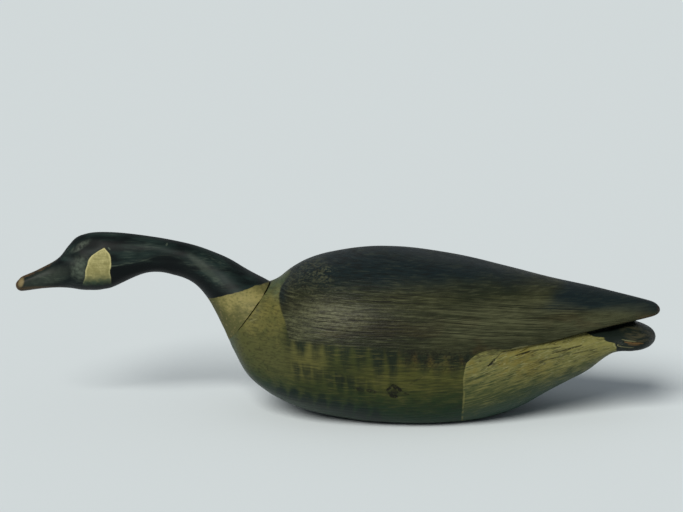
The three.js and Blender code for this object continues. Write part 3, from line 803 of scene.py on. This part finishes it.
def carvedFrom(nodeName, name):  # a smooth copy of a CAD node, in even quads
    pickOnly(frame["nodes"][nodeName])
    bpy.ops.object.duplicate()
    piece = bpy.context.active_object
    piece.name = piece.data.name = name
    piece.parent = None
    for tag in ("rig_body", "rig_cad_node"):  # the copy is no CAD node
        del piece[tag]
    piece.data.materials.clear()
    pickOnly(piece)
    bpy.ops.object.mode_set(mode="EDIT")
    bpy.ops.mesh.select_all(action="SELECT")
    bpy.ops.mesh.remove_doubles(threshold=carving["weld"] * mm)
    flat = math.radians(carving["quadAngle"])
    bpy.ops.mesh.tris_convert_to_quads(face_threshold=flat, shape_threshold=flat)
    bpy.ops.mesh.normals_make_consistent(inside=False)
    bpy.ops.object.mode_set(mode="OBJECT")
    pickFaces(piece, onJoint)
    bpy.ops.mesh.region_to_loop()
    bpy.ops.transform.edge_crease(value=1)
    bpy.ops.object.mode_set(mode="OBJECT")
    smooth = piece.modifiers.new("smooth", "SUBSURF")
    smooth.levels = smooth.render_levels = carving["levels"]
    bpy.ops.object.modifier_apply(modifier=smooth.name)
    return piece


def crumbleJoint(piece, side):  # side is -1 for the neck and 1 for the body
    face = jointTop + jointWay * (joint["gap"] * mm if side > 0 else 0)
    for reach in joint["rows"]:
        pickFaces(piece, lambda face: True)
        bpy.ops.mesh.bisect(plane_co=face + jointWay * (side * reach * mm), plane_no=jointWay)
        bpy.ops.object.mode_set(mode="OBJECT")
    pickFaces(piece, onJoint)
    bpy.ops.mesh.region_to_loop()
    bpy.ops.object.mode_set(mode="OBJECT")
    middle = (jointTop + jointFoot) / 2
    for point in piece.data.vertices:
        if point.select:
            opening = between(joint["opening"], point.co.z / mm)
            back = joint["crumbled"] * opening * mm
            inward = (middle - point.co).normalized()
            closed = joint["gap"] * joint["closed"] * (1 - min(opening * 4, 1)) * mm
            point.co += jointWay * (side * (back - closed)) + inward * back


def dressed(piece, nodeName, material):
    pickOnly(piece)
    bpy.ops.object.shade_smooth_by_angle(angle=math.radians(carving["shadeAngle"]))
    piece.data.materials.append(material)
    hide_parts(nodeName)
    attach(piece, "root")
    print(f"{piece.name}: {len(piece.data.polygons)} faces")


def carveNeck():
    piece = carvedFrom("head_and_neck", "neckWood")
    knifeWork(piece, *neck["facets"])

    def culmen(x, y, z):
        return (z - between(neck["culmen"], x) + 5) / 5 * between(neck["culmenShow"], x)

    def throat(x, y, z):  # past the head it begins just under the chine
        low = between(neck["throatTop"], x) if x < -275 else between(neck["chine"], x) - 4
        return (low - z) / 8 * between(neck["throatShow"], x)

    def chine(x, y, z):
        ridge = dome(farFrom(neck["chine"], x, z), neck["chineSpread"])
        return ridge * between(neck["chineShow"], x)

    def socket(x, y, z):
        return mound(x, z, *neck["socket"])

    def forehead(x, y, z):
        return mound(x, z, *neck["forehead"])

    pushWood(piece, -neck["culmenTrim"], culmen)
    pushWood(piece, neck["throatFill"], throat)
    pushWood(piece, neck["chineReach"], chine)
    pushWood(piece, -neck["socketDepth"], socket)
    pushWood(piece, neck["foreheadFill"], forehead)
    crumbleJoint(piece, -1)
    return piece


def carveBody():
    piece = carvedFrom("body", "bodyWood")
    knifeWork(piece, *body["facets"])

    def valley(x, y, z):
        return dome(farFrom(body["valley"], x, z), body["valleySpread"]) if x < -40 else 0

    def breast(x, y, z):
        return mound(x, z, *body["breast"])

    def tail(x, y, z):
        return between(body["tailShow"], x) * between(body["tailShowUp"], z)

    def flank(x, y, z):
        return between(body["flankShow"], x) * between(body["flankShowUp"], z)

    def crown(x, y, z):
        middle, reach = body["crown"]
        return dome((x - middle) / reach, 1) * between(body["crownShowUp"], z)

    sandDown(piece, body["flankPasses"], flank)
    pushWood(piece, -body["valleyDepth"], valley)
    pushWood(piece, body["breastFill"], breast)
    pushWood(piece, body["tailFill"], tail)
    pushWood(piece, -body["crownTrim"], crown)
    cutMarks(piece, body["marks"] + body["chips"] + body["scrapes"], -1)
    cutMarks(piece, body["farMarks"], 1)
    crumbleJoint(piece, 1)
    return piece


dressed(carveNeck(), "head_and_neck", neckFinish())
dressed(carveBody(), "body", bodyFinish())


studio = {
    "aim": (0.0033, 0, 0.186),  # what the camera looks at, metres
    "cameraDistance": 2.0,
    "cameraRise": 11,  # degrees above the horizon
    "lens": 89.7,
    "keyTurn": -27,  # degrees to the left of the camera's side
    "keyRise": 39,
    "keyDistance": 3,
    "keySpread": 32,  # degrees that the light spans, seen from the bird
    "keyPower": 3.8,
    "keyColour": (1.0, 0.97, 0.9),
    "airColour": (0.84, 0.89, 0.93),
    "airStrength": 0.3,
    "floorSize": 60,
    "floorDrop": 0.2,  # how far the floor lies below the bird, mm
    "floorColour": (208, 216, 221),
}


def around(turn, rise, distance):  # a point on a sphere round what the camera looks at
    turn, rise = math.radians(turn), math.radians(rise)
    level = distance * math.cos(rise)
    away = (level * math.sin(turn), -level * math.cos(turn), distance * math.sin(rise))
    return Vector(studio["aim"]) + Vector(away)


def layStudio():
    level = -studio["floorDrop"] * mm
    bpy.ops.mesh.primitive_plane_add(size=studio["floorSize"], location=(0, 0, level))
    floor = bpy.context.active_object
    floor.name = "studioFloor"
    cloth = bpy.data.materials.new("paleFloor")
    cloth.use_nodes = True
    shader = cloth.node_tree.nodes["Principled BSDF"]
    shader.inputs["Base Color"].default_value = paint(*studio["floorColour"])
    shader.inputs["Roughness"].default_value = 1
    shader.inputs["Specular IOR Level"].default_value = 0
    floor.data.materials.append(cloth)

    place = around(studio["keyTurn"], studio["keyRise"], studio["keyDistance"])
    bpy.ops.object.light_add(type="SUN", location=place)
    key = bpy.context.active_object
    key.rotation_euler = (Vector(studio["aim"]) - place).to_track_quat("-Z", "Y").to_euler()
    key.data.angle = math.radians(studio["keySpread"])
    key.data.energy = studio["keyPower"]
    key.data.color = studio["keyColour"]

    air = bpy.data.worlds.new("studioAir")
    air.use_nodes = True
    air.node_tree.nodes["Background"].inputs["Color"].default_value = (*studio["airColour"], 1)
    air.node_tree.nodes["Background"].inputs["Strength"].default_value = studio["airStrength"]
    bpy.context.scene.world = air

    rise = math.radians(studio["cameraRise"])
    bpy.ops.object.camera_add(location=around(0, studio["cameraRise"], studio["cameraDistance"]),
                              rotation=(math.pi / 2 - rise, 0, 0))
    camera = bpy.context.active_object
    camera.data.lens = studio["lens"]
    camera.data.clip_end = 100
    bpy.context.scene.camera = camera
    bpy.context.scene.view_settings.view_transform = "Standard"


layStudio()
print("studio laid")
